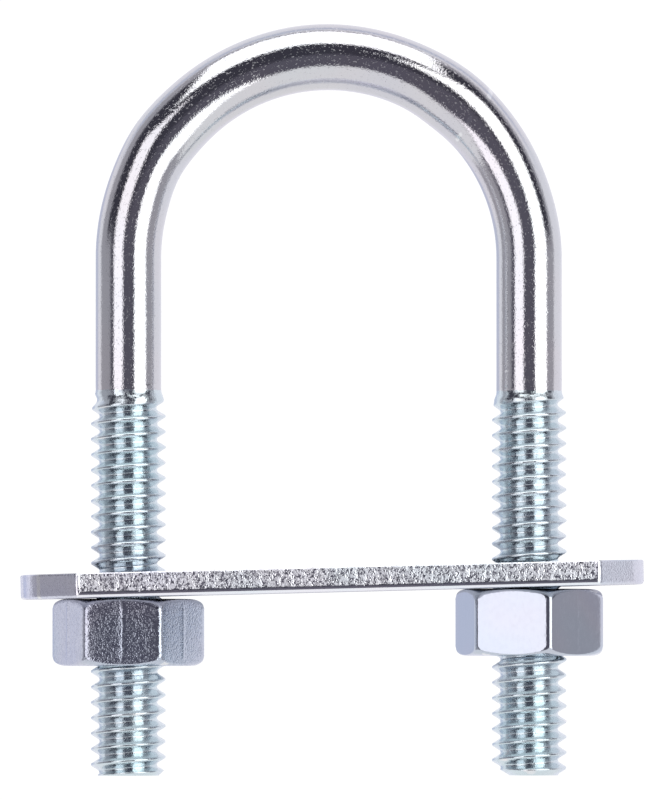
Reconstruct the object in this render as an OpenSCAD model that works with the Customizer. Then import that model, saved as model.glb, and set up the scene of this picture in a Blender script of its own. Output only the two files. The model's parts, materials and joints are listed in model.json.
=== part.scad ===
// U-bolt with a strap plate and two hex nuts: a round rod bent into a U, whose two
// threaded legs pass through the plate. The nuts sit under the plate, and turning them
// draws it up against the pipe that the bend goes round.
// The origin is the centre of the bend, where the pipe's centre goes. X runs from the
// left leg to the right leg, Y along the pipe, and Z up from the leg ends to the crown.

/* [Bent rod] */
// Diameter of the plain rod
rod_d = 5.4; // [5:0.1:5.8]
// Clear width between the two legs
inside_w = 27.6; // [24:0.2:50]
// Height from the crown of the bend down to the leg ends
overall_h = 61.7; // [56:0.1:90]

/* [Thread] */
// Diameter over the thread's crests
thread_d = 6.15; // [6.1:0.05:6.25]
// Length of thread on each leg
thread_len = 31.6; // [29:0.1:32]
// Angle about the left leg at which its thread leaves the leg's end
left_thread_start = 102; // [0:1:359]
// Angle about the right leg at which its thread leaves the leg's end
right_thread_start = 0; // [0:1:359]

/* [Strap plate] */
// Length of the plate
plate_l = 51; // [48:0.2:60]
// Width of the plate along the pipe
plate_w = 15.9; // [12:0.1:20]
// Thickness of the plate
plate_t = 2; // [1.2:0.1:3]
// Diameter of the plate's two holes
hole_d = 7.15; // [6.9:0.05:7.5]
// How much each corner of the plate is clipped
clip = 4.1; // [3:0.1:4.5]
// Depth of the plate's top face below the bend's centre
plate_depth = 25.45; // [20:0.05:28]
// Slope of the plate, because the left nut is screwed up less far
plate_slope = 1.45; // [0:0.05:2]
// How far the plate sits to the right, within the play of its holes
plate_shift = 0.22; // [-0.3:0.02:0.3]

/* [Nuts] */
// Width of a nut across its flats
nut_w = 11; // [10.8:0.05:11.2]
// Thickness of a nut
nut_t = 5.5; // [5.3:0.05:5.8]
// Angle of the left nut about its leg
left_nut_turn = -8; // [-30:1:30]
// Angle of the right nut about its leg
right_nut_turn = -19; // [-30:1:30]

/* [Hidden] */

round_fn = 64;              // smoothness of every round shape
zinc = [0.78, 0.80, 0.83];  // bright zinc plating
zinc_warm = [0.74, 0.74, 0.78];

leg_x = (inside_w + rod_d) / 2;      // distance of each leg's axis from the middle
crown_z = leg_x + rod_d / 2;
leg_end_z = crown_z - overall_h;
thread_top_z = leg_end_z + thread_len;
crest_r = thread_d / 2;

// Twenty threads to the inch, with flanks at 60 degrees to each other
pitch = 25.4 / 20;
flank = tan(30);
root_r = crest_r - 0.725;            // bottom of the rod's groove
root_half = 0.14;                    // half the width of that groove's flat bottom
crest_half = pitch / 2 - root_half - (crest_r - root_r) * flank;
segments = 20;                       // flat strips in one turn of a thread
overcut = 0.065;                     // how far a groove's cutter reaches past the surface
runout_turns = 0.8;                  // turns over which the groove fades out at its top
collar_h = 0.4;                      // cone from the plain rod out to the crests
point_h = 0.55;                      // bevel at the end of a leg
point_r = 2.5;

// The nut's thread is the rod's thread with running room added
room_radial = 0.115;
room_axial = 0.08;
nut_bore_r = 2.57;
nut_groove_r = crest_r + room_radial;
nut_face_r = 5.05;                   // flat ring left on each face of a nut
nut_corner_r = nut_w / 2 / cos(30) - 0.08;
nut_bevel_h = 0.78;
nut_mouth_r = 3.4;

clip_corner_r = 0.6;
end_corner_r = 4;
nut_gap = 0.03;                      // the plate rests just clear of the nuts

// Depth of the plate's underside over a nut, at the edge where it first touches it
function nut_top_z(x) =
    -plate_depth - plate_t / cos(plate_slope) + (x - nut_face_r) * tan(plate_slope) - nut_gap;

// A thread cutter: one closed outline for each step, a list of [radius, height offset],
// is carried along a right-hand helix from start_angle and start_z, one pitch up in a turn.
module helix_solid(outlines, start_angle, start_z) {
    steps = len(outlines) - 1;
    n = len(outlines[0]);
    points = [for (k = [0:steps]) let (angle = start_angle + 360 * k / segments)
        for (p = outlines[k]) [p[0] * cos(angle), p[0] * sin(angle), start_z + pitch * k / segments + p[1]]];
    sides = [for (k = [0:steps - 1]) for (j = [0:n - 1])
        let (a = k * n + j, b = k * n + (j + 1) % n, c = a + n, d = b + n) each [[a, b, d], [a, d, c]]];
    ends = [[for (j = [n - 1:-1:0]) j], [for (j = [0:n - 1]) steps * n + j]];
    polyhedron(points = points, faces = concat(sides, ends));
}

// Outline of the rod's groove at a part of its full depth, widening outwards at 60 degrees
function rod_groove(depth) = let (
    bottom = crest_r - (crest_r - root_r) * depth,
    top = crest_r + overcut,
    bottom_half = root_half * depth + 0.02,
    top_half = bottom_half + (top - bottom) * flank)
    [[bottom, -bottom_half], [top, -top_half], [top, top_half], [bottom, bottom_half]];

// The cutter that threads one leg, with its axis on Z
module leg_groove(start_angle) {
    below = 2;                       // turns of the cutter under the leg's end
    steps = floor(((thread_len - collar_h) / pitch + below) * segments);
    full = steps - runout_turns * segments;
    outlines = [for (k = [0:steps]) rod_groove(k < full ? 1 : 1 - 0.85 * (k - full) / (steps - full))];
    helix_solid(outlines, start_angle, leg_end_z - below * pitch);
}

// The cutter that threads one nut, in step with the leg that the nut is on
module nut_groove(start_angle, bottom_z) {
    below = floor((bottom_z - leg_end_z) / pitch) - 1;
    turns = ceil(nut_t / pitch) + 3;
    inner = nut_bore_r - 0.12;
    inner_half = crest_half + (crest_r - inner) * flank + room_axial;
    outer_half = crest_half + (crest_r - nut_groove_r) * flank + room_axial;
    outline = [[inner, -inner_half], [nut_groove_r, -outer_half],
        [nut_groove_r, outer_half], [inner, inner_half]];
    helix_solid([for (k = [0:turns * segments]) outline],
        start_angle + 180, leg_end_z + below * pitch);
}

module leg(start_angle) {
    difference() {
        union() {
            translate([0, 0, thread_top_z]) cylinder(h = -thread_top_z, d = rod_d, $fn = round_fn);
            translate([0, 0, thread_top_z - collar_h])
                cylinder(h = collar_h, r1 = crest_r, r2 = rod_d / 2, $fn = round_fn);
            translate([0, 0, leg_end_z + point_h])
                cylinder(h = thread_len - collar_h - point_h, r = crest_r, $fn = round_fn);
            translate([0, 0, leg_end_z]) cylinder(h = point_h, r1 = point_r, r2 = crest_r, $fn = round_fn);
        }
        leg_groove(start_angle);
    }
}

module bent_rod() {
    color(zinc) {
        rotate([90, 0, 0]) rotate_extrude(angle = 180, $fn = round_fn)
            translate([leg_x, 0]) circle(d = rod_d, $fn = round_fn);
        translate([-leg_x, 0, 0]) leg(left_thread_start);
        translate([leg_x, 0, 0]) leg(right_thread_start);
    }
}

// A flat outline with true arcs at its corners, each given as [x, y, corner radius]
module rounded_outline(corners) {
    n = len(corners);
    spots = [for (c = corners) [c[0], c[1]]];
    back = [for (i = [0:n - 1]) let (v = spots[(i + n - 1) % n] - spots[i]) v / norm(v)];
    ahead = [for (i = [0:n - 1]) let (v = spots[(i + 1) % n] - spots[i]) v / norm(v)];
    half = [for (i = [0:n - 1]) acos(back[i] * ahead[i]) / 2];
    polygon([for (i = [0:n - 1]) let (cut = corners[i][2] / tan(half[i]))
        each [spots[i] + back[i] * cut, spots[i] + ahead[i] * cut]]);
    for (i = [0:n - 1])
        translate(spots[i] + (back[i] + ahead[i]) / norm(back[i] + ahead[i]) * corners[i][2] / sin(half[i]))
            circle(r = corners[i][2], $fn = round_fn);
}

module strap_plate() {
    end = plate_l / 2;
    side = plate_w / 2;
    corners = [
        [end, -side + clip, end_corner_r], [end, side - clip, end_corner_r],
        [end - clip, side, clip_corner_r], [-end + clip, side, clip_corner_r],
        [-end, side - clip, end_corner_r], [-end, -side + clip, end_corner_r],
        [-end + clip, -side, clip_corner_r], [end - clip, -side, clip_corner_r]];
    color(zinc_warm) translate([0, 0, -plate_depth]) rotate([0, -plate_slope, 0])
        translate([plate_shift, 0, -plate_t]) difference() {
            linear_extrude(height = plate_t) rounded_outline(corners);
            for (side_x = [-leg_x, leg_x])
                translate([side_x, 0, -1]) cylinder(h = plate_t + 2, d = hole_d, $fn = round_fn);
        }
}

// A hex nut with bevelled faces and a real thread, on the leg at x
module hex_nut(x, turn, start_angle) {
    bottom_z = nut_top_z(x) - nut_t;
    mouth_h = nut_mouth_r - nut_bore_r;
    color(zinc) translate([x, 0, 0]) difference() {
        translate([0, 0, bottom_z]) intersection() {
            rotate([0, 0, turn]) cylinder(h = nut_t, r = nut_w / 2 / cos(30), $fn = 6);
            rotate_extrude($fn = round_fn) polygon([[0, 0], [nut_face_r, 0], [nut_corner_r, nut_bevel_h],
                [nut_corner_r, nut_t - nut_bevel_h], [nut_face_r, nut_t], [0, nut_t]]);
        }
        translate([0, 0, bottom_z - 1]) cylinder(h = nut_t + 2, r = nut_bore_r, $fn = round_fn);
        translate([0, 0, bottom_z - 0.01])
            cylinder(h = mouth_h, r1 = nut_mouth_r, r2 = nut_bore_r, $fn = round_fn);
        translate([0, 0, bottom_z + nut_t - mouth_h + 0.01])
            cylinder(h = mouth_h, r1 = nut_bore_r, r2 = nut_mouth_r, $fn = round_fn);
        nut_groove(start_angle, bottom_z);
    }
}

module left_nut() { hex_nut(-leg_x, left_nut_turn, left_thread_start); }
module right_nut() { hex_nut(leg_x, right_nut_turn, right_thread_start); }

bent_rod();
strap_plate();
left_nut();
right_nut();
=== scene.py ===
# %% [markdown]
# # A zinc-plated U-bolt with its strap and nuts
# Four pieces of steel: a round rod bent into a U and threaded at both ends, a strap
# punched with two holes, and two hex nuts. All four are bright zinc, so almost nothing
# of their colour is their own. What the eye reads is the shape of the surface, bending
# the studio round it, and that is why every piece here is a fine mesh with its real
# threads, rounded corners and torn edges, and why the lamps are placed with such care.
#
# Sizes are in millimetres while a shape is worked out, and become metres on the way
# into the mesh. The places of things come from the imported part.

import json
import math

import bmesh
import bpy
import numpy as np
from mathutils import Matrix, Vector, noise


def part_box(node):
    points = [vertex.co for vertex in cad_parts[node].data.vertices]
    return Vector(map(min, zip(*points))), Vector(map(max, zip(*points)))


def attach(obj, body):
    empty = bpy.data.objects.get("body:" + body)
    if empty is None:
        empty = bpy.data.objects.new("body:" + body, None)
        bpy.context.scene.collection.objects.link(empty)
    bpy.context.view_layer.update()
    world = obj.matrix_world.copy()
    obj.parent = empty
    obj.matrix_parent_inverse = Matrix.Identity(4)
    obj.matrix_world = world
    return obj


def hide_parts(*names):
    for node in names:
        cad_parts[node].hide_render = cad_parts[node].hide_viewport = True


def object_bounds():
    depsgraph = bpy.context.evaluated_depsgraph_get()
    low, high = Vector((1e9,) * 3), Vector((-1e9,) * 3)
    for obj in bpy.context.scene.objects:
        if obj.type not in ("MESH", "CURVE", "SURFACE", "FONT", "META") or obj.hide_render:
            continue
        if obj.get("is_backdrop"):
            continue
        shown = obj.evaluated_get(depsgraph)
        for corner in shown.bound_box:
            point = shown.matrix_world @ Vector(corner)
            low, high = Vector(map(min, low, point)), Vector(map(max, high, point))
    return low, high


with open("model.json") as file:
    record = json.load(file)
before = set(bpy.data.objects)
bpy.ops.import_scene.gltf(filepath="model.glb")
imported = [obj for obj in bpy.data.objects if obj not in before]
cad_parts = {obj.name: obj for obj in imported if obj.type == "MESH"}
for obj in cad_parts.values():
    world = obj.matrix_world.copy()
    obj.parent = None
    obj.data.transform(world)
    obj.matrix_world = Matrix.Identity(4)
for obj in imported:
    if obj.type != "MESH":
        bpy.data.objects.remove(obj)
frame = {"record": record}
cad_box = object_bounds()
MM = 0.001
print("box of the part, mm:", [[round(c / MM, 2) for c in corner] for corner in cad_box])

# %% [markdown]
# ## Sizes from the part
# The record of the part says where things fasten, and that gives nearly every size: the
# pipe seat gives the inside of the bend, the two studs give the spacing of the legs and
# the radius over the threads, and the plate's top face gives its depth and its slope.
# The nuts are tied to the plate's travel by a ratio in radians for each metre, and one
# whole turn over that ratio is the pitch of the thread.

# %% Read the driving sizes
record = frame["record"]
mounts = {mount["name"]: mount for mount in record["mounts"]}
rod_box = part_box("bent_rod")
plate_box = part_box("strap_plate")

LEG_X = mounts["bracket_studs"]["dims"]["spacing_x_mm"] / 2
CREST_R = mounts["bracket_studs"]["dims"]["stud_r_mm"]
ROD_R = LEG_X - mounts["pipe_seat"]["dims"]["r_mm"]
LEG_END_Z = rod_box[0].z / MM
PITCH = 2 * math.pi / record["behaviour"]["couplings"][0]["ratio"] / MM
PLATE_TOP_Z = mounts["plate_top"]["pos_m"][2] / MM
PLATE_TILT = math.asin(mounts["plate_top"]["axis"][0])
print(f"legs at +-{LEG_X:.2f}, rod radius {ROD_R:.2f}, thread radius {CREST_R:.3f}, pitch {PITCH:.3f}")
print(f"leg ends at {LEG_END_Z:.2f}, plate top at {PLATE_TOP_Z:.2f}, tilt {math.degrees(PLATE_TILT):.2f} degrees")

# %% [markdown]
# ## Small helpers for making meshes
# A lathe, a sweep and a punched edge are all the same thing: a grid of points whose
# places follow a formula. So the meshes are worked out with arrays of numbers, which is
# quick even for a hundred thousand points, and handed to Blender at the end. Two small
# functions blend shapes: `ease` goes smoothly from 0 to 1, and `soft_min` takes the
# smaller of two radii but rounds the corner where they cross, as a rolling die does.

# %% Blending functions
def ease(t):
    t = np.clip(t, 0.0, 1.0)
    return t * t * (3.0 - 2.0 * t)


def soft_min(a, b, rounding):
    return 0.5 * (a + b - np.sqrt((a - b) ** 2 + rounding ** 2))


def soft_max(a, b, rounding):
    return 0.5 * (a + b + np.sqrt((a - b) ** 2 + rounding ** 2))


def hump(x, centre, width):
    return np.exp(-((x - centre) / width) ** 2)


def wander(points, scale, seed):
    """Smooth noise from -1 to 1 at each point, the same on every run."""
    shift = Vector((seed * 17.3, seed * 5.1, seed * 9.7))
    return np.array([noise.noise(Vector(p) * scale + shift) for p in points])


# %% Turning arrays into a Blender object
def new_object(name, points_mm, faces):
    mesh = bpy.data.meshes.new(name)
    mesh.from_pydata((np.asarray(points_mm) * MM).tolist(), [], faces)
    mesh.update()
    piece = bpy.data.objects.new(name, mesh)
    bpy.context.scene.collection.objects.link(piece)
    return piece


def describe(piece):
    mesh = piece.data
    print(f"{piece.name}: {len(mesh.vertices)} points, {len(mesh.polygons)} faces")


# %% [markdown]
# ## A thread that is a real helix
# A thread could be faked with a stack of rings, or with a bump in the material, but both
# give themselves away at the outline. Here the rows of the grid themselves climb like
# the thread: going once round the rod, a row rises by one pitch and meets the row that
# started one turn above it. Crests and roots then run exactly along rows, so they stay
# crisp with few faces. `spiral_faces` joins such a grid, and it serves the rod's outside
# and the nuts' inside alike.

# %% A grid whose rows climb one turn at the seam
COLUMNS = 64
ROWS_PER_TURN = 18


def spiral_grid(first_turn, last_turn):
    """Column, row and turn number of every point, column by column."""
    first_row = -ROWS_PER_TURN + math.floor(first_turn * ROWS_PER_TURN)
    last_row = math.ceil(last_turn * ROWS_PER_TURN)
    rows = np.arange(first_row, last_row + 1)
    column, row = np.meshgrid(np.arange(COLUMNS), rows, indexing="ij")
    column, row = column.ravel(), row.ravel()
    return column, row, row / ROWS_PER_TURN + column / COLUMNS, len(rows)


def spiral_faces(rows):
    faces = []
    for c in range(COLUMNS):
        here = c * rows
        there = (c + 1) * rows if c < COLUMNS - 1 else ROWS_PER_TURN
        count = rows - 1 if c < COLUMNS - 1 else rows - 1 - ROWS_PER_TURN
        faces += [(here + j, there + j, there + j + 1, here + j + 1) for j in range(count)]
    return faces


def groove_offset(row):
    """Distance along the axis from the nearest groove's centre, in mm, with its sign."""
    part = np.mod(row, ROWS_PER_TURN) / ROWS_PER_TURN
    return np.where(part > 0.5, part - 1.0, part) * PITCH


# %% [markdown]
# ## The thread's profile
# The thread is twenty to the inch with flanks at sixty degrees. On a rolled thread the
# metal is pressed up between the dies, so the crests are rounded and the roots are
# smooth. The profile is a straight flank cut off by two soft limits.

# %% Profile of the rod's thread
FLANK = math.tan(math.radians(30))
THREAD_DEPTH = 0.725
ROOT_HALF = 0.14
ROOT_R = CREST_R - THREAD_DEPTH
ROOT_ROUNDING = 0.14
CREST_ROUNDING = 0.05


def thread_radius(offset):
    flank = ROOT_R + (np.abs(offset) - ROOT_HALF) / FLANK
    return soft_min(soft_max(flank, ROOT_R, ROOT_ROUNDING), CREST_R, CREST_ROUNDING)


# %% [markdown]
# ## The bent rod
# One bar runs up the left leg, round the bend and down the right leg. A sweep along that
# line makes it, with the spiral grid wrapped round it from end to end. The grid climbs
# exactly one pitch a turn along the threads and faster round the bend, where there is no
# thread to follow, and the spare turns are chosen so that the grooves of the right leg
# come out at the angle where the right nut expects them.

# %% The line that the rod follows
LEG_L = -LEG_END_Z
ARC_L = math.pi * LEG_X
ROD_L = 2 * LEG_L + ARC_L
LEFT_START = math.radians(102)      # angle at which the left groove leaves the leg's end
RIGHT_START = 0.0                   # the same for the right leg
SPIRAL_L = 32.0                     # length of each leg on which the grid keeps to the pitch


def rod_line(s):
    """Centre, inward direction and bend angle at distance s from the left leg's end."""
    turn = np.clip((s - LEG_L) / LEG_X, 0.0, math.pi)
    x = -LEG_X * np.cos(turn)
    z = LEG_X * np.sin(turn)
    z = z + np.minimum(s - LEG_L, 0.0) - np.maximum(s - LEG_L - ARC_L, 0.0)
    inward = np.stack([np.cos(turn), np.zeros_like(turn), -np.sin(turn)], axis=1)
    return np.stack([x, np.zeros_like(x), z], axis=1), inward, turn


def spiral_length():
    """Turns in the middle of the rod, and how far they run ahead of the pitch."""
    phase = PITCH * (LEFT_START + RIGHT_START) / (2 * math.pi) - PITCH / 2 + ROD_L
    middle = ROD_L - 2 * SPIRAL_L
    ahead = phase + PITCH * round((0.5 * middle - phase) / PITCH)
    return (middle - ahead) / PITCH, ahead


middle_turns, ahead = spiral_length()
first_turns = SPIRAL_L / PITCH


def along_rod(turn):
    """Distance along the rod after so many turns of the grid."""
    return PITCH * turn + ahead * ease((turn - first_turns) / middle_turns)


print(f"rod {ROD_L:.1f} mm long, {middle_turns:.2f} turns of the grid round the bend")

# %% [markdown]
# Where the thread starts, the shank flares in two stages to the size over the crests, and
# the groove sinks in over most of a turn. The end of each leg has a small bevel, and on
# the right leg that bevel is larger toward the middle, where the cropping tool pushed it
# over. The bend is not perfect either: the mandrel leaves the bar a little fuller beside
# the crown and a little thinner elsewhere, which bends the reflections there.

# %% Radius of the rod
THREAD_TOP = 31.6                   # length from the leg's end to the plain shank
COLLAR = 0.85                       # length of the steep part of the flare
RUNOUT = 0.8 * PITCH                # length over which the groove fades out
GROOVE_TOP = THREAD_TOP - 0.35
POINT_H = 0.55                      # height of the bevel at a leg's end
POINT_R = 2.5                       # radius that the bevel leaves on the end
PUSHED_IN, PUSHED_UP = 0.9, 0.3     # how much larger the bevel is inside the right leg
BEVEL_ROUNDING = 0.04
ROLLING_WANDER = 0.030              # unevenness that the rolling leaves in the threads


def bend_shape(turn, inward_share):
    """How much fuller or thinner the bent bar is, in mm, outside and inside the bend."""
    left_angle = np.degrees(turn)
    outside = 0.10 * hump(left_angle, 128, 10) + 0.13 * hump(left_angle, 34, 9)
    outside = outside + 0.05 * hump(left_angle, 85, 16) - 0.07 * hump(left_angle, 160, 12)
    inside = 0.10 * hump(left_angle, 128, 8) - 0.14 * hump(left_angle, 28, 9)
    return ease(-inward_share) * outside + ease(inward_share) * inside


def rod_radius(s, row, turn, inward_share):
    on_left = s < ROD_L / 2
    u = np.where(on_left, s, ROD_L - s)
    offset = groove_offset(row)
    groove_u = np.where(on_left, u - offset, u + offset)
    fade = 1.0 - ease((groove_u - (GROOVE_TOP - RUNOUT)) / RUNOUT)
    flare = 0.6 * (1.0 - ease((u - (THREAD_TOP - COLLAR)) / COLLAR))
    flare = flare + 0.4 * (1.0 - ease((u - (THREAD_TOP - COLLAR - PITCH)) / PITCH))
    base = ROD_R + (CREST_R - ROD_R) * flare
    r = base - (CREST_R - thread_radius(offset)) * fade * (u < SPIRAL_L)
    hammered = np.where(on_left, 0.0, ease(inward_share))
    point_r, point_h = POINT_R - PUSHED_IN * hammered, POINT_H + PUSHED_UP * hammered
    bevel = point_r + np.maximum(u, 0.0) * (CREST_R - point_r) / point_h
    r = soft_min(r, bevel, BEVEL_ROUNDING)
    bent = ease(turn / 0.2) * ease((math.pi - turn) / 0.2)
    return r + bent * bend_shape(turn, inward_share)


# %% Sweep the rod and cut its ends flat
def close_holes(bm):
    rims = [e for e in bm.edges if e.is_boundary]
    caps = bmesh.ops.holes_fill(bm, edges=rims, sides=0)["faces"]
    for face in caps:
        for edge in face.edges:
            edge.smooth = False
    return caps


def make_rod():
    column, row, turn_no, rows = spiral_grid(0.0, (ROD_L - ahead) / PITCH + 1.0)
    s = along_rod(turn_no)
    angle = LEFT_START + 2 * math.pi * column / COLUMNS
    centre, inward, turn = rod_line(s)
    sideways = np.tile([0.0, 1.0, 0.0], (len(s), 1))
    r = rod_radius(s, row, turn, np.cos(angle))
    straight = np.stack([r * np.cos(angle), r * np.sin(angle), s], axis=1)
    threaded = np.minimum(s, ROD_L - s) < SPIRAL_L
    rough = np.zeros(len(s))
    rough[threaded] = wander(straight[threaded], 0.9, 1)
    r = r + ROLLING_WANDER * rough
    points = centre + (r * np.cos(angle))[:, None] * inward + (r * np.sin(angle))[:, None] * sideways
    rod = new_object("rod", points, spiral_faces(rows))
    unbent = rod.data.attributes.new("unbent", "FLOAT_VECTOR", "POINT")
    unbent.data.foreach_set("vector", (straight * MM).astype(np.float32).ravel())
    bm = bmesh.new()
    bm.from_mesh(rod.data)
    everything = bm.verts[:] + bm.edges[:] + bm.faces[:]
    bmesh.ops.bisect_plane(bm, geom=everything, dist=1e-6, plane_co=(0, 0, LEG_END_Z * MM),
                           plane_no=(0, 0, 1), clear_inner=True)
    for face in bm.faces:
        face.smooth = True
    close_holes(bm)
    bmesh.ops.recalc_face_normals(bm, faces=bm.faces[:])
    bm.to_mesh(rod.data)
    bm.free()
    return rod


rod = make_rod()
describe(rod)

# %% [markdown]
# ## The hex nuts
# A nut like this is pressed cold from wire. Its corners are not sharp and the top and
# bottom are turned down in a rounded bevel, so each side face ends in a curved line. The
# outline in plan is a soft hexagon: six planes blended by a high power, which draws each
# corner in by a tenth of a millimetre. The press leaves an upright crease on the middle of
# the faces, plain on the left nut and hardly there on the right one. Inside, the spiral
# grid cuts the thread in step with the leg's.

# %% Outside of a nut
NUT_ACROSS = 11.0
NUT_BEVEL_H = 0.78
NUT_FACE_R = 5.05
NUT_CORNER_R = NUT_ACROSS / 2 / math.cos(math.radians(30)) - 0.08
CORNER_POWER = 44                   # how sharply the six side faces meet
BEVEL_EDGE_ROUNDING = 0.10
FACE_ANGLES = [-30, -29.2, -28.2, -27, -25.5, -23, -19, -14, -9, -4.5, -1.6, -0.7,
               0, 0.7, 1.6, 4.5, 9, 14, 19, 23, 25.5, 27, 28.2, 29.2]
BEVEL_STEPS = [0.0, 0.02, 0.06, 0.13, 0.23, 0.36, 0.50, 0.66, 0.84, 1.0, 1.2, 1.45]


def hexagon_radius(angle):
    """Distance from the axis to a softly cornered hexagon whose faces look along k * 60 degrees."""
    reach = sum(np.maximum(np.cos(angle - math.radians(60 * k)), 0.0) ** CORNER_POWER for k in range(6))
    return NUT_ACROSS / 2 / reach ** (1 / CORNER_POWER)


def bevel_radius(depth):
    """Radius allowed by the turned-down rim, at a depth below the nut's face."""
    t = np.clip(depth / NUT_BEVEL_H, 0.0, 1.0)
    return NUT_FACE_R + (NUT_CORNER_R - NUT_FACE_R) * np.sqrt(1.0 - (1.0 - t) ** 2) + (t >= 1.0) * 0.5


def nut_outside(height, turn, crease):
    """Points of the outer wall, ring by ring from the bottom face, with no axis offset."""
    depths = [NUT_BEVEL_H * b for b in BEVEL_STEPS]
    middle = list(np.linspace(depths[-1], height - depths[-1], 7)[1:-1])
    levels = np.array(depths + middle + [height - d for d in reversed(depths)])
    face_angle = np.radians(np.array(FACE_ANGLES * 6))
    angle = face_angle + np.radians(np.repeat(np.arange(6) * 60, len(FACE_ANGLES)))
    hexagon = hexagon_radius(angle)
    rings = []
    for z in levels:
        edge = min(z, height - z)
        r = soft_min(hexagon, bevel_radius(edge), BEVEL_EDGE_ROUNDING)
        ridge = crease * hump(np.degrees(face_angle), 0.0, 1.0) * ease((edge - 0.3) / 0.5)
        r = r + ridge
        world = angle + turn
        rings.append(np.stack([r * np.cos(world), r * np.sin(world), np.full_like(r, z)], axis=1))
    return np.concatenate(rings), len(levels), len(angle)


def ring_faces(levels, around):
    return [(i * around + j, i * around + (j + 1) % around, (i + 1) * around + (j + 1) % around,
             (i + 1) * around + j) for i in range(levels - 1) for j in range(around)]


# %% Inside of a nut
ROOM_RADIAL = 0.115
ROOM_AXIAL = 0.08
NUT_BORE_R = 2.57
MOUTH_R = 3.4
BORE_ROUNDING = 0.05
CREST_HALF = PITCH / 2 - ROOT_HALF - THREAD_DEPTH * FLANK


def nut_thread_radius(crest_offset):
    """Radius of the nut's own thread, at an offset from the crest of the leg's thread."""
    flank = CREST_R - (np.abs(crest_offset) - CREST_HALF - ROOM_AXIAL) / FLANK
    return soft_max(soft_min(flank, CREST_R + ROOM_RADIAL, BORE_ROUNDING), NUT_BORE_R, BORE_ROUNDING)


def nut_inside(bottom_z, height, start_angle):
    """Points of the threaded hole, in step with a leg whose groove starts at start_angle."""
    first_turn = (bottom_z - LEG_END_Z) / PITCH
    column, row, turn_no, rows = spiral_grid(first_turn, first_turn + height / PITCH + 1.2)
    z = turn_no * PITCH + LEG_END_Z - bottom_z
    angle = start_angle + 2 * math.pi * column / COLUMNS
    crest_offset = PITCH / 2 - np.abs(groove_offset(row))
    mouth = MOUTH_R - np.minimum(z, height - z)
    r = soft_max(nut_thread_radius(crest_offset), mouth, BORE_ROUNDING)
    return np.stack([r * np.cos(angle), r * np.sin(angle), z], axis=1), rows


# %% Join the two walls of a nut with its flat faces
def make_nut(name, node, x, turn_deg, start_angle, crease):
    low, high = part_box(node)
    bottom_z, height = low.z / MM, (high.z - low.z) / MM
    outside, levels, around = nut_outside(height, math.radians(turn_deg + 30), crease)
    inside, rows = nut_inside(bottom_z, height, start_angle)
    outer_faces = ring_faces(levels, around)
    inner_faces = [tuple(len(outside) + i for i in face) for face in spiral_faces(rows)]
    nut = new_object(name, np.concatenate([outside, inside]), outer_faces + inner_faces)
    bm = bmesh.new()
    bm.from_mesh(nut.data)
    for face in bm.faces:
        face.smooth = True
    for cut_z, up in ((0.0, 1), (height, -1)):
        everything = bm.verts[:] + bm.edges[:] + bm.faces[:]
        bmesh.ops.bisect_plane(bm, geom=everything, dist=1e-7, plane_co=(0, 0, cut_z * MM),
                               plane_no=(0, 0, up), clear_inner=True)
        rim = [e for e in bm.edges if e.is_boundary
               and all(abs(v.co.z - cut_z * MM) < 1e-6 for v in e.verts)]
        flat = bmesh.ops.triangle_fill(bm, edges=rim, use_beauty=True, normal=(0, 0, -up))["geom"]
        for item in flat:
            if isinstance(item, bmesh.types.BMFace):
                item.smooth = False
                item.material_index = 1
        for edge in rim:
            edge.smooth = False
    bmesh.ops.recalc_face_normals(bm, faces=bm.faces[:])
    bmesh.ops.translate(bm, verts=bm.verts[:], vec=(x * MM, 0, bottom_z * MM))
    bm.to_mesh(nut.data)
    bm.free()
    return nut


left_nut = make_nut("hex_nut_left", "left_nut", -LEG_X, -8, LEFT_START, 0.022)
right_nut = make_nut("hex_nut_right", "right_nut", LEG_X, -19, RIGHT_START, 0.004)
describe(left_nut)
describe(right_nut)

# %% [markdown]
# ## The strap
# The strap is cropped and punched from strip. A shear leaves a clear story on the edge it
# makes. At the bottom, where the blade came in, the metal rolls over in a soft curve.
# Above that is a thin burnished line, and then the steel tears: most of the edge is
# broken grain that sparkles. The clipped corners and the ends were cut with a closer tool,
# so they are only lightly grained and don't tear. All of that is modelled as real relief,
# on a grid that runs round the outline with a row for each height.

# %% Outline of the strap
def plate_sizes():
    """Length, thickness and middle of the strap, undoing the tilt that widens its box."""
    across = (plate_box[1].x - plate_box[0].x) / MM
    upright = (plate_box[1].z - plate_box[0].z) / MM
    c, s = math.cos(PLATE_TILT), abs(math.sin(PLATE_TILT))
    length = (across * c - upright * s) / (c * c - s * s)
    thickness = (upright * c - across * s) / (c * c - s * s)
    middle = ((plate_box[0].x + plate_box[1].x) / 2 / MM - thickness / 2 * s) / c
    return length, thickness, middle


PLATE_L, PLATE_T, PLATE_MIDDLE = plate_sizes()
PLATE_W = (plate_box[1].y - plate_box[0].y) / MM
print(f"strap {PLATE_L:.2f} x {PLATE_W:.2f} x {PLATE_T:.2f} mm, {PLATE_MIDDLE:.2f} mm off centre")
CLIP = 4.1                          # how much of each corner is cut off
END_CORNER_R, CLIP_CORNER_R = 4.0, 0.6
EDGE_STEP = 0.11                    # distance between points along the edge
HOLE_R = 7.15 / 2


def strap_corners():
    """Corners counter-clockwise from above: x, y and the radius that rounds them."""
    end, side = PLATE_L / 2, PLATE_W / 2
    quarter = [(end, side - CLIP, END_CORNER_R), (end - CLIP, side, CLIP_CORNER_R)]
    left = [(-x, y, r) for x, y, r in reversed(quarter)]
    upper = quarter + left
    return upper + [(-x, -y, r) for x, y, r in upper]


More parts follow.
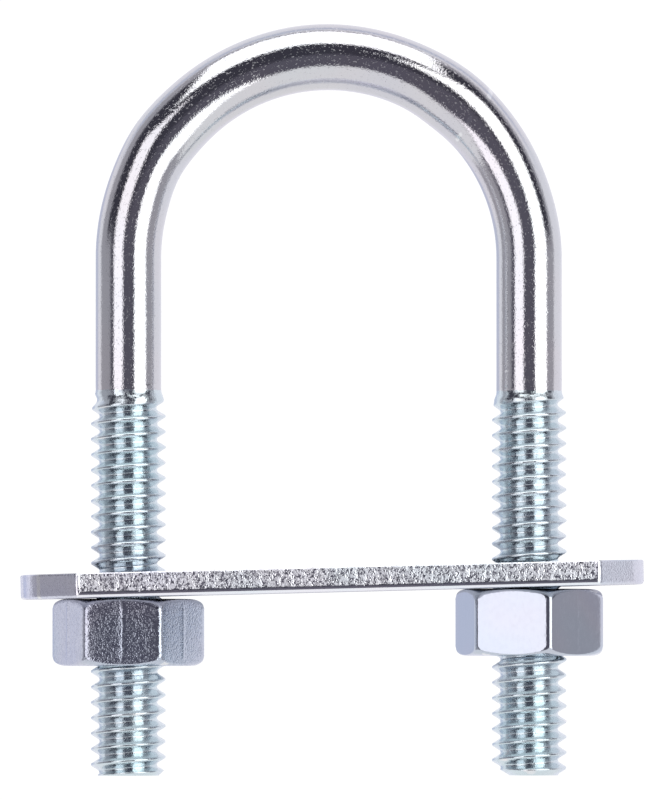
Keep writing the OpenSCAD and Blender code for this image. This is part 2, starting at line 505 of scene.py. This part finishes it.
def walk_outline(corners, step):
    """Even points along the rounded outline, their outward directions, and how straight and
    long-sided each is: 1 on the two long sides and 0 on the clips and ends."""
    spots, normals, sides = [], [], []
    count = len(corners)
    xy = [Vector(c[:2]) for c in corners]
    for i in range(count):
        back = (xy[i - 1] - xy[i]).normalized()
        ahead_dir = (xy[(i + 1) % count] - xy[i]).normalized()
        half = back.angle(ahead_dir) / 2
        cut = corners[i][2] / math.tan(half)
        start = xy[i] + back * cut
        centre = xy[i] + (back + ahead_dir).normalized() * corners[i][2] / math.sin(half)
        sweep = math.pi - 2 * half
        steps = max(4, math.ceil(sweep * corners[i][2] / step))
        first = math.atan2((start - centre).y, (start - centre).x)
        for k in range(steps):
            a = first + sweep * k / steps
            normal = Vector((math.cos(a), math.sin(a)))
            spots.append(centre + normal * corners[i][2])
            normals.append(normal)
            sides.append(0.0)
        last = xy[i] + ahead_dir * cut
        following = xy[(i + 1) % count]
        next_half = (-ahead_dir).angle((xy[(i + 2) % count] - following).normalized()) / 2
        stop = following - ahead_dir * corners[(i + 1) % count][2] / math.tan(next_half)
        run = (stop - last).length
        pieces = max(1, round(run / step))
        outward = Vector((ahead_dir.y, -ahead_dir.x))
        for k in range(pieces):
            spots.append(last + (stop - last) * k / pieces)
            normals.append(outward)
            sides.append(1.0 if abs(outward.y) > 0.99 else 0.0)
    return np.array(spots), np.array(normals), np.array(sides)


# %% Relief of a sheared edge
ROLL_H = 0.34                       # height of the rolled lower edge
ROLL_IN = 0.26                      # how far that edge rolls in
TOP_H = 0.09                        # height of the small turn at the top
TEAR_FROM = 0.47                    # height where the steel starts to tear
FACET_GRAIN = 0.45                  # how grainy the ends and the clipped corners are
EDGE_LEVELS = ([ROLL_H * t for t in (0.0, 0.05, 0.15, 0.3, 0.5, 0.75)]
               + list(np.linspace(ROLL_H, PLATE_T - TOP_H, 17))
               + [PLATE_T - h for h in (0.05, 0.02, 0.0)])


def shear_relief(level, spots, sides):
    """How far the edge lies inside the outline at one height above the strap's underside, and
    how torn it is there, from 0 to 1."""
    here = [(x, y, level * 0.7) for x, y in spots]
    along = [(x, y, 0.0) for x, y in spots]
    roll = ROLL_IN * (1.0 - math.sqrt(1.0 - (1.0 - min(level / ROLL_H, 1.0)) ** 2))
    tear_line = TEAR_FROM + 0.06 * wander(along, 1.7, 4) + 0.06 * wander(along, 5.0, 5)
    tear_line = tear_line + (1.0 - sides) * 2.0
    torn = ease((level - tear_line) / 0.07)
    grain = 0.028 * wander(here, 2.3, 6) + 0.025 * wander(here, 4.4, 7)
    lean = 0.06 + 0.05 * (level - 0.5)
    top_roll = 0.06 * ease((level - (PLATE_T - TOP_H)) / TOP_H)
    return roll + torn * (lean + grain) + top_roll, torn


# %% Build the strap
def hole_rings(x, around=72):
    """Rings of one punched hole from the underside up, each a little wider at the mouths."""
    angle = -2 * math.pi * np.arange(around) / around
    rings = []
    for level, wider in ((0.0, 0.16), (0.05, 0.08), (0.14, 0.02), (0.30, 0.0), (0.70, 0.0), (1.0, 0.03),
                         (1.4, 0.04), (1.75, 0.05), (1.85, 0.07), (PLATE_T, 0.12)):
        ragged = 0.02 * wander([(x, a * 3.0, level * 2.0) for a in angle], 1.7, 9)
        r = HOLE_R + wider + ragged * (0.8 < level < 1.8)
        rings.append(np.stack([x + r * np.cos(angle), r * np.sin(angle), np.full(around, level)], axis=1))
    return np.concatenate(rings), len(rings), around


def make_strap():
    spots, normals, sides = walk_outline(strap_corners(), EDGE_STEP)
    rings, torn_rings = [], []
    for level in EDGE_LEVELS:
        inward, torn = shear_relief(level, spots, sides)
        flat = spots - normals * inward[:, None]
        rings.append(np.column_stack([flat, np.full(len(spots), level)]))
        torn_rings.append(np.maximum(torn, FACET_GRAIN * (1.0 - sides)))
    points, faces = np.concatenate(rings), ring_faces(len(rings), len(spots))
    for x in (-LEG_X, LEG_X):
        ring_points, levels, around = hole_rings(x)
        shift = len(points)
        faces += [tuple(shift + i for i in face) for face in ring_faces(levels, around)]
        points = np.concatenate([points, ring_points])
        torn_rings.append(ease((ring_points[:, 2] - 0.8) / 0.2))
    strap = new_object("strap", points - [0, 0, PLATE_T], faces)
    torn = strap.data.attributes.new("torn", "FLOAT", "POINT")
    torn.data.foreach_set("value", np.concatenate(torn_rings).astype(np.float32))
    bm = bmesh.new()
    bm.from_mesh(strap.data)
    for face in bm.faces:
        face.smooth = True
        on_end = abs(face.calc_center_median().x) > (PLATE_L / 2 - CLIP) * MM
        face.material_index = 2 if on_end else 1
    for level in (-PLATE_T, 0.0):
        rim = [e for e in bm.edges if e.is_boundary
               and all(abs(v.co.z - level * MM) < 1e-7 for v in e.verts)]
        flat = bmesh.ops.triangle_fill(bm, edges=rim, use_beauty=True)["geom"]
        for item in flat:
            if isinstance(item, bmesh.types.BMFace):
                item.smooth = False
                item.material_index = 0
        for edge in rim:
            edge.smooth = False
    bmesh.ops.recalc_face_normals(bm, faces=bm.faces[:])
    tilt = Matrix.Translation((0, 0, PLATE_TOP_Z * MM)) @ Matrix.Rotation(PLATE_TILT, 4, "Y")
    place = tilt @ Matrix.Translation((PLATE_MIDDLE * MM, 0, 0))
    bmesh.ops.transform(bm, matrix=place, verts=bm.verts[:])
    bm.to_mesh(strap.data)
    bm.free()
    return strap


strap = make_strap()
describe(strap)

# %% [markdown]
# ## Shared surface effects
# Three things show on every one of these parts, so each is a node group, built once and
# set differently in each material. `grain` is the fine roughness of the steel under the
# plating, which breaks the edge of a reflection into specks. `film` is the thin passivated
# layer over the zinc, which drifts between lavender, grey and blue. `wear` finds the
# edges and crests that have rubbed against others in the box.

# %% Helpers for node trees
def put(tree, kind, at, **settings):
    node = tree.nodes.new(kind)
    node.location = at
    for key, value in settings.items():
        setattr(node, key, value)
    return node


def math_node(tree, operation, at, first, second):
    node = put(tree, "ShaderNodeMath", at, operation=operation)
    for socket, value in zip(node.inputs, (first, second)):
        if isinstance(value, bpy.types.NodeSocket):
            tree.links.new(value, socket)
        elif value is not None:
            socket.default_value = value
    return node.outputs[0]


def new_group(name, inputs, outputs):
    """A node group with its sockets: each is (name, socket type, default or None)."""
    group = bpy.data.node_groups.new(name, "ShaderNodeTree")
    for direction, sockets in (("INPUT", inputs), ("OUTPUT", outputs)):
        for title, kind, value in sockets:
            socket = group.interface.new_socket(name=title, in_out=direction, socket_type=kind)
            if value is not None:
                socket.default_value = value
    start = put(group, "NodeGroupInput", (-900, 0))
    end = put(group, "NodeGroupOutput", (700, 0))
    return group, start, end


def use_group(tree, group, at, **values):
    node = put(tree, "ShaderNodeGroup", at)
    node.node_tree = group
    for title, value in values.items():
        socket = node.inputs[title.replace("_", " ")]
        if isinstance(value, bpy.types.NodeSocket):
            tree.links.new(value, socket)
        else:
            socket.default_value = value
    return node


# %% [markdown]
# Grain is two sizes of noise, one fine and one finer, stretched along the way the steel
# was drawn. The stretch is a plain scaling of the coordinates before the noise reads them.

# %% The grain group
def build_grain():
    group, start, end = new_group(
        "grain",
        [("Vector", "NodeSocketVector", None), ("Size", "NodeSocketVector", (1, 1, 1)),
         ("Specks", "NodeSocketFloat", 0.5), ("Patch Start", "NodeSocketFloat", 0.42),
         ("Patch Full", "NodeSocketFloat", 0.62)],
        [("Height", "NodeSocketFloat", None), ("Mask", "NodeSocketFloat", None)])
    scaled = put(group, "ShaderNodeVectorMath", (-700, 0), operation="MULTIPLY")
    group.links.new(start.outputs["Vector"], scaled.inputs[0])
    group.links.new(start.outputs["Size"], scaled.inputs[1])
    coarse = put(group, "ShaderNodeTexNoise", (-450, 150))
    coarse.inputs["Scale"].default_value = 1.0
    coarse.inputs["Detail"].default_value = 3.0
    coarse.inputs["Roughness"].default_value = 0.6
    fine = put(group, "ShaderNodeTexVoronoi", (-450, -150), feature="SMOOTH_F1")
    fine.inputs["Scale"].default_value = 1.7
    fine.inputs["Smoothness"].default_value = 0.6
    for texture in (coarse, fine):
        group.links.new(scaled.outputs[0], texture.inputs["Vector"])
    specks = math_node(group, "MULTIPLY", (-200, -150), fine.outputs["Distance"], start.outputs["Specks"])
    height = math_node(group, "ADD", (50, 0), coarse.outputs["Fac"], specks)
    ramp = put(group, "ShaderNodeMapRange", (250, -200), interpolation_type="SMOOTHSTEP")
    group.links.new(start.outputs["Patch Start"], ramp.inputs["From Min"])
    group.links.new(start.outputs["Patch Full"], ramp.inputs["From Max"])
    group.links.new(coarse.outputs["Fac"], ramp.inputs["Value"])
    group.links.new(height, end.inputs["Height"])
    group.links.new(ramp.outputs["Result"], end.inputs["Mask"])
    return group


grain_group = build_grain()
print("group grain:", len(grain_group.nodes), "nodes")


# %% [markdown]
# The film's colour comes from slow noise through a colour ramp. Real passivation is so
# thin that the change is slight, so the ramp's colours stay close to one another.

# %% The film group
def build_film():
    group, start, end = new_group(
        "film",
        [("Vector", "NodeSocketVector", None), ("Size", "NodeSocketFloat", 90.0),
         ("Zinc", "NodeSocketColor", (0.7, 0.71, 0.74, 1)), ("Amount", "NodeSocketFloat", 0.5)],
        [("Color", "NodeSocketColor", None)])
    slow = put(group, "ShaderNodeTexNoise", (-600, 0))
    slow.inputs["Detail"].default_value = 2.0
    group.links.new(start.outputs["Vector"], slow.inputs["Vector"])
    group.links.new(start.outputs["Size"], slow.inputs["Scale"])
    ramp = put(group, "ShaderNodeValToRGB", (-350, 0))
    stops = [(0.30, (0.93, 0.93, 1.0, 1)), (0.45, (1.0, 0.98, 0.99, 1)), (0.58, (0.94, 0.99, 1.0, 1)),
             (0.72, (0.90, 0.96, 1.0, 1))]
    while len(ramp.color_ramp.elements) < len(stops):
        ramp.color_ramp.elements.new(0.5)
    for element, (place, colour) in zip(ramp.color_ramp.elements, stops):
        element.position = place
        element.color = colour
    group.links.new(slow.outputs["Fac"], ramp.inputs["Fac"])
    tint = put(group, "ShaderNodeMix", (200, 0), data_type="RGBA", blend_type="MULTIPLY")
    group.links.new(start.outputs["Amount"], tint.inputs["Factor"])
    group.links.new(start.outputs["Zinc"], tint.inputs["A"])
    group.links.new(ramp.outputs["Color"], tint.inputs["B"])
    group.links.new(tint.outputs["Result"], end.inputs["Color"])
    return group


film_group = build_film()
print("group film:", len(film_group.nodes), "nodes")


# %% [markdown]
# Wear starts from how sharply the surface bends outwards, which Blender calls
# pointiness: one half is flat, and more is a ridge. Noise breaks it up.

# %% The wear group
def build_wear():
    group, start, end = new_group(
        "wear",
        [("Vector", "NodeSocketVector", None), ("Pointiness", "NodeSocketFloat", 0.5),
         ("Start", "NodeSocketFloat", 0.51), ("Full", "NodeSocketFloat", 0.58)],
        [("Mask", "NodeSocketFloat", None)])
    patchy = put(group, "ShaderNodeTexNoise", (-600, -150))
    patchy.inputs["Scale"].default_value = 1400.0
    patchy.inputs["Detail"].default_value = 2.0
    group.links.new(start.outputs["Vector"], patchy.inputs["Vector"])
    ridge = put(group, "ShaderNodeMapRange", (-350, 100), interpolation_type="SMOOTHSTEP")
    group.links.new(start.outputs["Pointiness"], ridge.inputs["Value"])
    group.links.new(start.outputs["Start"], ridge.inputs["From Min"])
    group.links.new(start.outputs["Full"], ridge.inputs["From Max"])
    broken = math_node(group, "MULTIPLY", (-100, 0), ridge.outputs["Result"], patchy.outputs["Fac"])
    mask = math_node(group, "MULTIPLY", (150, 0), broken, 1.7)
    group.links.new(mask, end.inputs["Mask"])
    return group


wear_group = build_wear()
print("group wear:", len(wear_group.nodes), "nodes")


# %% [markdown]
# ## The zinc materials
# Each finish is one Principled shader, fully metallic. The film gives its colour, wear
# lightens it along the edges, and grain drives both its roughness and a bump. What makes
# one finish differ from another is the size, direction and depth of the grain, so one
# function builds them all from those values. The broad flat faces take no wear: their
# points lie only on the rims, so a value read at the points would smear right across.

# %% One function for every zinc finish
def zinc_finish(name, zinc, film_amount, grain_size, specks, bump, roughness, wear_span, source="OBJECT",
                dark=None, grain_where=None, patches=(0.42, 0.62)):
    """bump is (strength, distance in mm). roughness is (smooth, rough). dark is a colour painted in as shade
    where the surface is concave, as in the thread roots. grain_where names a value on the mesh that is 1 where
    the grain shows and 0 where not. patches sets how much of the surface is rough: both higher for fewer and
    smaller rough spots."""
    material = bpy.data.materials.new(name)
    material.use_nodes = True
    tree = material.node_tree
    shader = tree.nodes["Principled BSDF"]
    shader.inputs["Metallic"].default_value = 1.0
    if source == "OBJECT":
        vector = put(tree, "ShaderNodeTexCoord", (-1300, 0)).outputs["Object"]
    else:
        vector = put(tree, "ShaderNodeAttribute", (-1300, 0), attribute_name=source).outputs["Vector"]
    shape = put(tree, "ShaderNodeNewGeometry", (-1300, -300))
    grain = use_group(tree, grain_group, (-1000, -200), Vector=vector, Size=grain_size, Specks=specks,
                      Patch_Start=patches[0], Patch_Full=patches[1])
    film = use_group(tree, film_group, (-1000, 100), Vector=vector, Zinc=(*zinc, 1), Amount=film_amount)
    wear = use_group(tree, wear_group, (-1000, -450), Vector=vector, Pointiness=shape.outputs["Pointiness"],
                     Start=wear_span[0], Full=wear_span[1])
    colour = film.outputs["Color"]
    # Painted shade: where the surface is concave, as in the thread roots, the colour is mixed toward the dark
    # colour.
    if dark is not None:
        root_shade_mask = put(tree, "ShaderNodeMapRange", (-700, 300), interpolation_type="SMOOTHSTEP")
        tree.links.new(shape.outputs["Pointiness"], root_shade_mask.inputs["Value"])
        root_shade_mask.inputs["From Min"].default_value = 0.50
        root_shade_mask.inputs["From Max"].default_value = 0.40
        painted_root_shade = put(tree, "ShaderNodeMix", (-500, 300), data_type="RGBA")
        painted_root_shade.inputs["B"].default_value = (*dark, 1)
        tree.links.new(root_shade_mask.outputs["Result"], painted_root_shade.inputs["Factor"])
        tree.links.new(colour, painted_root_shade.inputs["A"])
        colour = painted_root_shade.outputs["Result"]
    bright = put(tree, "ShaderNodeMix", (-300, 100), data_type="RGBA")
    bright.inputs["B"].default_value = (0.86, 0.87, 0.88, 1)
    tree.links.new(wear.outputs["Mask"], bright.inputs["Factor"])
    tree.links.new(colour, bright.inputs["A"])
    tree.links.new(bright.outputs["Result"], shader.inputs["Base Color"])
    mask, height = grain.outputs["Mask"], grain.outputs["Height"]
    if grain_where is not None:
        share = put(tree, "ShaderNodeAttribute", (-900, -700), attribute_name=grain_where).outputs["Fac"]
        mask = math_node(tree, "MULTIPLY", (-600, -100), mask, share)
        height = math_node(tree, "MULTIPLY", (-600, -350), height, share)
    dull = put(tree, "ShaderNodeMapRange", (-300, -100))
    dull.inputs["To Min"].default_value, dull.inputs["To Max"].default_value = roughness
    tree.links.new(mask, dull.inputs["Value"])
    tree.links.new(dull.outputs["Result"], shader.inputs["Roughness"])
    relief = put(tree, "ShaderNodeBump", (-300, -350))
    relief.inputs["Strength"].default_value = bump[0]
    relief.inputs["Distance"].default_value = bump[1] * MM
    tree.links.new(height, relief.inputs["Height"])
    tree.links.new(relief.outputs["Normal"], shader.inputs["Normal"])
    return material


# %% The finishes
UNWORN = (0.98, 1.0)                # a span of pointiness that no edge reaches

rod_zinc = zinc_finish("drawn_rod_zinc", (0.70, 0.695, 0.715), 0.5, (7000, 7000, 4600), 0.7,
                       (0.8, 0.007), (0.04, 0.40), (0.62, 0.75), source="unbent", patches=(0.55, 0.68))
# The thread finish paints a darker teal-grey into its roots as shade.
thread_zinc = zinc_finish("rolled_thread_zinc", (0.72, 0.80, 0.83), 0.6, (3600, 3600, 2400), 0.5,
                          (0.7, 0.014), (0.13, 0.30), (0.54, 0.62), source="unbent", dark=(0.52, 0.68, 0.74))
strap_zinc = zinc_finish("strip_zinc", (0.60, 0.61, 0.65), 0.8, (1500, 3200, 3200), 0.6,
                         (0.7, 0.014), (0.34, 0.52), UNWORN)
shear_zinc = zinc_finish("torn_edge_zinc", (0.95, 0.96, 1.0), 0.8, (4600, 4600, 3600), 0.9,
                         (0.9, 0.030), (0.14, 0.62), (0.53, 0.62), grain_where="torn")
clip_zinc = zinc_finish("clipped_edge_zinc", (0.75, 0.77, 0.84), 0.8, (4600, 4600, 3600), 0.9,
                        (0.9, 0.030), (0.14, 0.62), (0.53, 0.62), grain_where="torn")
mottled_nut_zinc = zinc_finish("mottled_nut_zinc", (0.60, 0.63, 0.71), 0.8, (4000, 4000, 4000), 0.8,
                               (0.9, 0.019), (0.07, 0.32), (0.53, 0.62))
smooth_nut_zinc = zinc_finish("smooth_nut_zinc", (0.62, 0.65, 0.72), 0.8, (3400, 3400, 2000), 0.6,
                              (0.5, 0.007), (0.08, 0.15), (0.53, 0.62))
flat_nut_zinc = zinc_finish("flat_nut_zinc", (0.60, 0.62, 0.67), 0.8, (3000, 3000, 3000), 0.7,
                            (0.6, 0.012), (0.20, 0.40), UNWORN)
finishes = [material.name for material in bpy.data.materials if "zinc" in material.name]
print(f"{len(finishes)} finishes:", ", ".join(finishes))

# %% Give each piece its finish
rod.data.materials.append(rod_zinc)
rod.data.materials.append(thread_zinc)
for face in rod.data.polygons:
    face.material_index = 1 if face.center.z < (LEG_END_Z + THREAD_TOP) * MM else 0
strap.data.materials.append(strap_zinc)
strap.data.materials.append(shear_zinc)
strap.data.materials.append(clip_zinc)
left_nut.data.materials.append(mottled_nut_zinc)
right_nut.data.materials.append(smooth_nut_zinc)
for nut in (left_nut, right_nut):
    nut.data.materials.append(flat_nut_zinc)
for piece in (rod, strap, left_nut, right_nut):
    print(f"{piece.name}: {', '.join(material.name for material in piece.data.materials)}")

# %% [markdown]
# ## Tie the pieces to the part
# Every piece rides on the body whose solid it stands for, so it moves as that body does:
# the rod stays, the strap slides along the legs, and the nuts turn as they climb.

# %% Ride on the bodies
for piece, node, slot in ((rod, "bent_rod", "zinc_rod"), (strap, "strap_plate", "zinc_plate"),
                          (left_nut, "left_nut", "zinc_nut"), (right_nut, "right_nut", "zinc_nut")):
    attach(piece, node)
    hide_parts(node)
    print(f"{piece.name} stands for {node}")

# %% [markdown]
# ## Studio
# Bright zinc is a mirror, so the light has to be arranged as for a mirror. A soft box
# stands to the left of the camera and a glowing sheet to its right, with a dark gap
# between them, and a second soft box hangs overhead. The gap is what draws the dark line
# down the middle of the rod. Behind is a white sweep, and the table in front is pale.
# Directions are worked out from the line of sight, so the whole studio turns with one
# angle.

# %% Line of sight
SIGHT_AZIMUTH = math.radians(-4.0)
SIGHT_ELEVATION = math.radians(-1.3)
AIM = Vector((0.29, 0.0, -11.67)) * MM
CAMERA_DISTANCE = 1.0
to_camera = Vector((math.sin(SIGHT_AZIMUTH) * math.cos(SIGHT_ELEVATION),
                    -math.cos(SIGHT_AZIMUTH) * math.cos(SIGHT_ELEVATION), math.sin(SIGHT_ELEVATION)))


def direction(right_deg, up_deg):
    """A direction from the part, turned right and up from the way to the camera."""
    azimuth, up = SIGHT_AZIMUTH + math.radians(right_deg), math.radians(up_deg)
    return Vector((math.sin(azimuth) * math.cos(up), -math.cos(azimuth) * math.cos(up), math.sin(up)))


# %% Camera
camera_data = bpy.data.cameras.new("camera")
camera = bpy.data.objects.new("camera", camera_data)
bpy.context.scene.collection.objects.link(camera)
bpy.context.scene.camera = camera
camera.location = AIM + to_camera * CAMERA_DISTANCE
camera.rotation_mode = "QUATERNION"
camera.rotation_quaternion = (-to_camera).to_track_quat("-Z", "Y")
camera_data.sensor_width = 36.0
PICTURE_HEIGHT = 65.73              # height of the picture at the part, in mm
camera_data.lens = camera_data.sensor_width * CAMERA_DISTANCE / (PICTURE_HEIGHT * MM)
print(f"camera {CAMERA_DISTANCE} m away, lens {camera_data.lens:.0f} mm")


# %% Soft boxes
LAMP_DISTANCE = 1.3


def soft_box(name, right_deg, up_deg, half_w_deg, half_h_deg, radiance, tint=(1, 1, 1)):
    """A rectangular lamp that faces the part and covers so many degrees each way."""
    lamp_data = bpy.data.lights.new(name, "AREA")
    lamp_data.shape = "RECTANGLE"
    lamp_data.size = 2 * LAMP_DISTANCE * math.tan(math.radians(half_w_deg))
    lamp_data.size_y = 2 * LAMP_DISTANCE * math.tan(math.radians(half_h_deg))
    lamp_data.energy = radiance * math.pi * lamp_data.size * lamp_data.size_y
    lamp_data.color = tint
    lamp = bpy.data.objects.new(name, lamp_data)
    bpy.context.scene.collection.objects.link(lamp)
    way = direction(right_deg, up_deg)
    lamp.location = AIM + way * LAMP_DISTANCE
    lamp.rotation_mode = "QUATERNION"
    lamp.rotation_quaternion = way.to_track_quat("Z", "Y")
    print(f"{name}: {lamp_data.size:.2f} x {lamp_data.size_y:.2f} m")


soft_box("left_box", -35.7, 1, 16.4, 31, 1.30, tint=(1.0, 0.965, 0.985))
soft_box("top_box", 0, 71.5, 30, 25.5, 1.7)


# %% [markdown]
# The lamp on the right stands closer to its end of the table and is seen as a shape with a
# slanting edge. An area lamp is always square-cornered, so this one is a sheet of glowing
# cloth instead, with its corners given as directions from the part.

# %% Glowing sheet
def glowing_sheet(name, corners_deg, radiance):
    mesh = bpy.data.meshes.new(name)
    corners = [AIM + direction(right, up) * LAMP_DISTANCE for right, up in corners_deg]
    mesh.from_pydata([tuple(c) for c in corners], [], [tuple(range(len(corners)))])
    sheet = bpy.data.objects.new(name, mesh)
    bpy.context.scene.collection.objects.link(sheet)
    cloth = bpy.data.materials.new(name)
    cloth.use_nodes = True
    cloth.node_tree.nodes.clear()
    glow = put(cloth.node_tree, "ShaderNodeEmission", (0, 0))
    glow.inputs["Color"].default_value = (1, 1, 1, 1)
    glow.inputs["Strength"].default_value = radiance
    out = put(cloth.node_tree, "ShaderNodeOutputMaterial", (200, 0))
    cloth.node_tree.links.new(glow.outputs[0], out.inputs[0])
    mesh.materials.append(cloth)
    sheet.visible_camera = False
    sheet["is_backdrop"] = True
    print(f"{name}: {len(corners)} corners, {sheet.dimensions.x:.2f} x {sheet.dimensions.z:.2f} m")


glowing_sheet("right_sheet", [(23, -30), (60, -30), (64, 0), (61, 36), (45, 39), (27, 35), (17, 27),
                              (22.5, 14), (21, 0)], 1.9)


# %% [markdown]
# The room itself is the world: dark on the camera's side, grey at the sides and white
# behind, with a pale table below. It depends only on the direction in the room, never on
# where the camera stands. The camera itself sees plain white, like a paper sweep.

# %% Room
def between(tree, at, value, low, high):
    """A mask that rises smoothly from 0 to 1 while a value goes from low to high."""
    node = put(tree, "ShaderNodeMapRange", at, interpolation_type="SMOOTHSTEP")
    node.inputs["From Min"].default_value, node.inputs["From Max"].default_value = low, high
    tree.links.new(value, node.inputs["Value"])
    return node.outputs["Result"]


def toward(tree, at, way, aim):
    """The cosine of the angle between each direction and one chosen direction."""
    node = put(tree, "ShaderNodeVectorMath", at, operation="DOT_PRODUCT")
    tree.links.new(way, node.inputs[0])
    node.inputs[1].default_value = aim
    return node.outputs["Value"]


def lay_over(tree, at, under, over, mask, blend="MIX"):
    """A colour laid over another one where the mask is 1."""
    node = put(tree, "ShaderNodeMix", at, data_type="RGBA", blend_type=blend)
    tree.links.new(mask, node.inputs["Factor"])
    tree.links.new(under, node.inputs["A"])
    node.inputs["B"].default_value = (*over, 1)
    return node.outputs["Result"]


def build_room():
    world = bpy.data.worlds.new("studio")
    bpy.context.scene.world = world
    world.use_nodes = True
    tree = world.node_tree
    tree.nodes.clear()
    way = put(tree, "ShaderNodeTexCoord", (-1200, 0)).outputs["Generated"]
    facing = toward(tree, (-1000, 100), way, direction(0, 0))
    off_axis = toward(tree, (-1000, 300), way, direction(-7, 0))
    left_behind = toward(tree, (-1000, 500), way, direction(-150, 0))
    parts = put(tree, "ShaderNodeSeparateXYZ", (-1000, -200))
    tree.links.new(way, parts.inputs[0])
    rise = parts.outputs["Z"]

    share = put(tree, "ShaderNodeMapRange", (-800, 100))
    share.inputs["From Min"].default_value = -1.0
    tree.links.new(off_axis, share.inputs["Value"])
    ramp = put(tree, "ShaderNodeValToRGB", (-600, 100))
    white, grey, dark = (0.93, 0.92, 0.99), (0.42, 0.41, 0.45), (0.120, 0.113, 0.145)
    stops = [(0.0, white), (0.36, (0.90, 0.89, 0.94)), (0.40, grey), (0.735, (0.40, 0.39, 0.43)),
             (0.785, dark), (0.9, dark)]
    while len(ramp.color_ramp.elements) < len(stops):
        ramp.color_ramp.elements.new(0.5)
    for element, (place, colour) in zip(ramp.color_ramp.elements, stops):
        element.position = place
        element.color = (*colour, 1)
    tree.links.new(share.outputs["Result"], ramp.inputs["Fac"])

    upper = math_node(tree, "MULTIPLY", (-400, 400), between(tree, (-600, 400), facing, 0.02, 0.12),
                      between(tree, (-600, 600), rise, 0.06, 0.20))
    room = lay_over(tree, (-200, 200), ramp.outputs["Color"], (0.052, 0.050, 0.068), upper)
    fold = math_node(tree, "MULTIPLY", (-600, -500), between(tree, (-800, -500), facing, -0.62, -0.46),
                     between(tree, (-800, -700), facing, -0.30, -0.42))
    fold = math_node(tree, "MULTIPLY", (-400, -500), fold, between(tree, (-600, -700), rise, 0.30, 0.60))
    room = lay_over(tree, (0, 200), room, (0.66, 0.70, 0.80), fold, "MULTIPLY")
    wall = between(tree, (-600, -300), left_behind, 0.93, 0.98)
    room = lay_over(tree, (100, 300), room, (0.68, 0.72, 0.82), wall, "MULTIPLY")
    room = lay_over(tree, (200, 200), room, (0.90, 0.90, 0.92), between(tree, (0, -200), rise, -0.51, -0.54))

    seen = put(tree, "ShaderNodeBackground", (400, -150))
    seen.inputs["Color"].default_value = (1, 1, 1, 1)
    seen.inputs["Strength"].default_value = 1.05
    lit = put(tree, "ShaderNodeBackground", (400, 50))
    tree.links.new(room, lit.inputs["Color"])
    ray = put(tree, "ShaderNodeLightPath", (400, 350))
    choose = put(tree, "ShaderNodeMixShader", (650, 0))
    out = put(tree, "ShaderNodeOutputWorld", (900, 0))
    tree.links.new(ray.outputs["Is Camera Ray"], choose.inputs[0])
    tree.links.new(lit.outputs[0], choose.inputs[1])
    tree.links.new(seen.outputs[0], choose.inputs[2])
    tree.links.new(choose.outputs[0], out.inputs[0])


build_room()
print("room:", len(bpy.context.scene.world.node_tree.nodes), "nodes")


# %% [markdown]
# The floor is level with the lowest point that anything reaches. When the nuts are
# unscrewed to their limit, the strap and the nuts come right off the legs, so the floor
# is as far down as the lower nut goes, and at rest the bolt hangs about a centimetre
# above it.

# %% Floor
FLOOR_RADIUS = 0.45
slide_down = record["behaviour"]["joints"][0]["range_m"][0]
FLOOR_Z = min(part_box(nut_node)[0].z for nut_node in ("left_nut", "right_nut")) + slide_down


def make_floor():
    bm = bmesh.new()
    bmesh.ops.create_circle(bm, cap_ends=True, segments=96, radius=FLOOR_RADIUS)
    mesh = bpy.data.meshes.new("floor")
    bm.to_mesh(mesh)
    bm.free()
    floor = bpy.data.objects.new("floor", mesh)
    bpy.context.scene.collection.objects.link(floor)
    floor.location.z = FLOOR_Z
    paper = bpy.data.materials.new("paper")
    paper.use_nodes = True
    shader = paper.node_tree.nodes["Principled BSDF"]
    shader.inputs["Roughness"].default_value = 0.9
    shader.inputs["Specular IOR Level"].default_value = 0.0
    fibres = put(paper.node_tree, "ShaderNodeTexNoise", (-600, 0))
    fibres.inputs["Scale"].default_value = 60.0
    tone = put(paper.node_tree, "ShaderNodeMapRange", (-400, 0))
    tone.inputs["To Min"].default_value, tone.inputs["To Max"].default_value = 0.86, 0.88
    paper.node_tree.links.new(fibres.outputs["Fac"], tone.inputs["Value"])
    paper.node_tree.links.new(tone.outputs["Result"], shader.inputs["Base Color"])
    shader.inputs["Emission Color"].default_value = (1, 1, 1, 1)
    shader.inputs["Emission Strength"].default_value = 0.40
    mesh.materials.append(paper)
    floor.visible_glossy = False
    floor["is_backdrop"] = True
    print(f"floor: radius {FLOOR_RADIUS} m, {FLOOR_Z / MM:.2f} mm from the bend's centre")


make_floor()
bpy.context.scene.view_settings.view_transform = "Standard"

# %% Check the size against the part, and finish
seen_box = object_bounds()
growth = [max(abs(a - b) for a, b in zip(seen, cad)) for seen, cad in zip(seen_box, cad_box)]
print("largest difference from the part's box, mm:", [round(g / MM, 3) for g in growth])
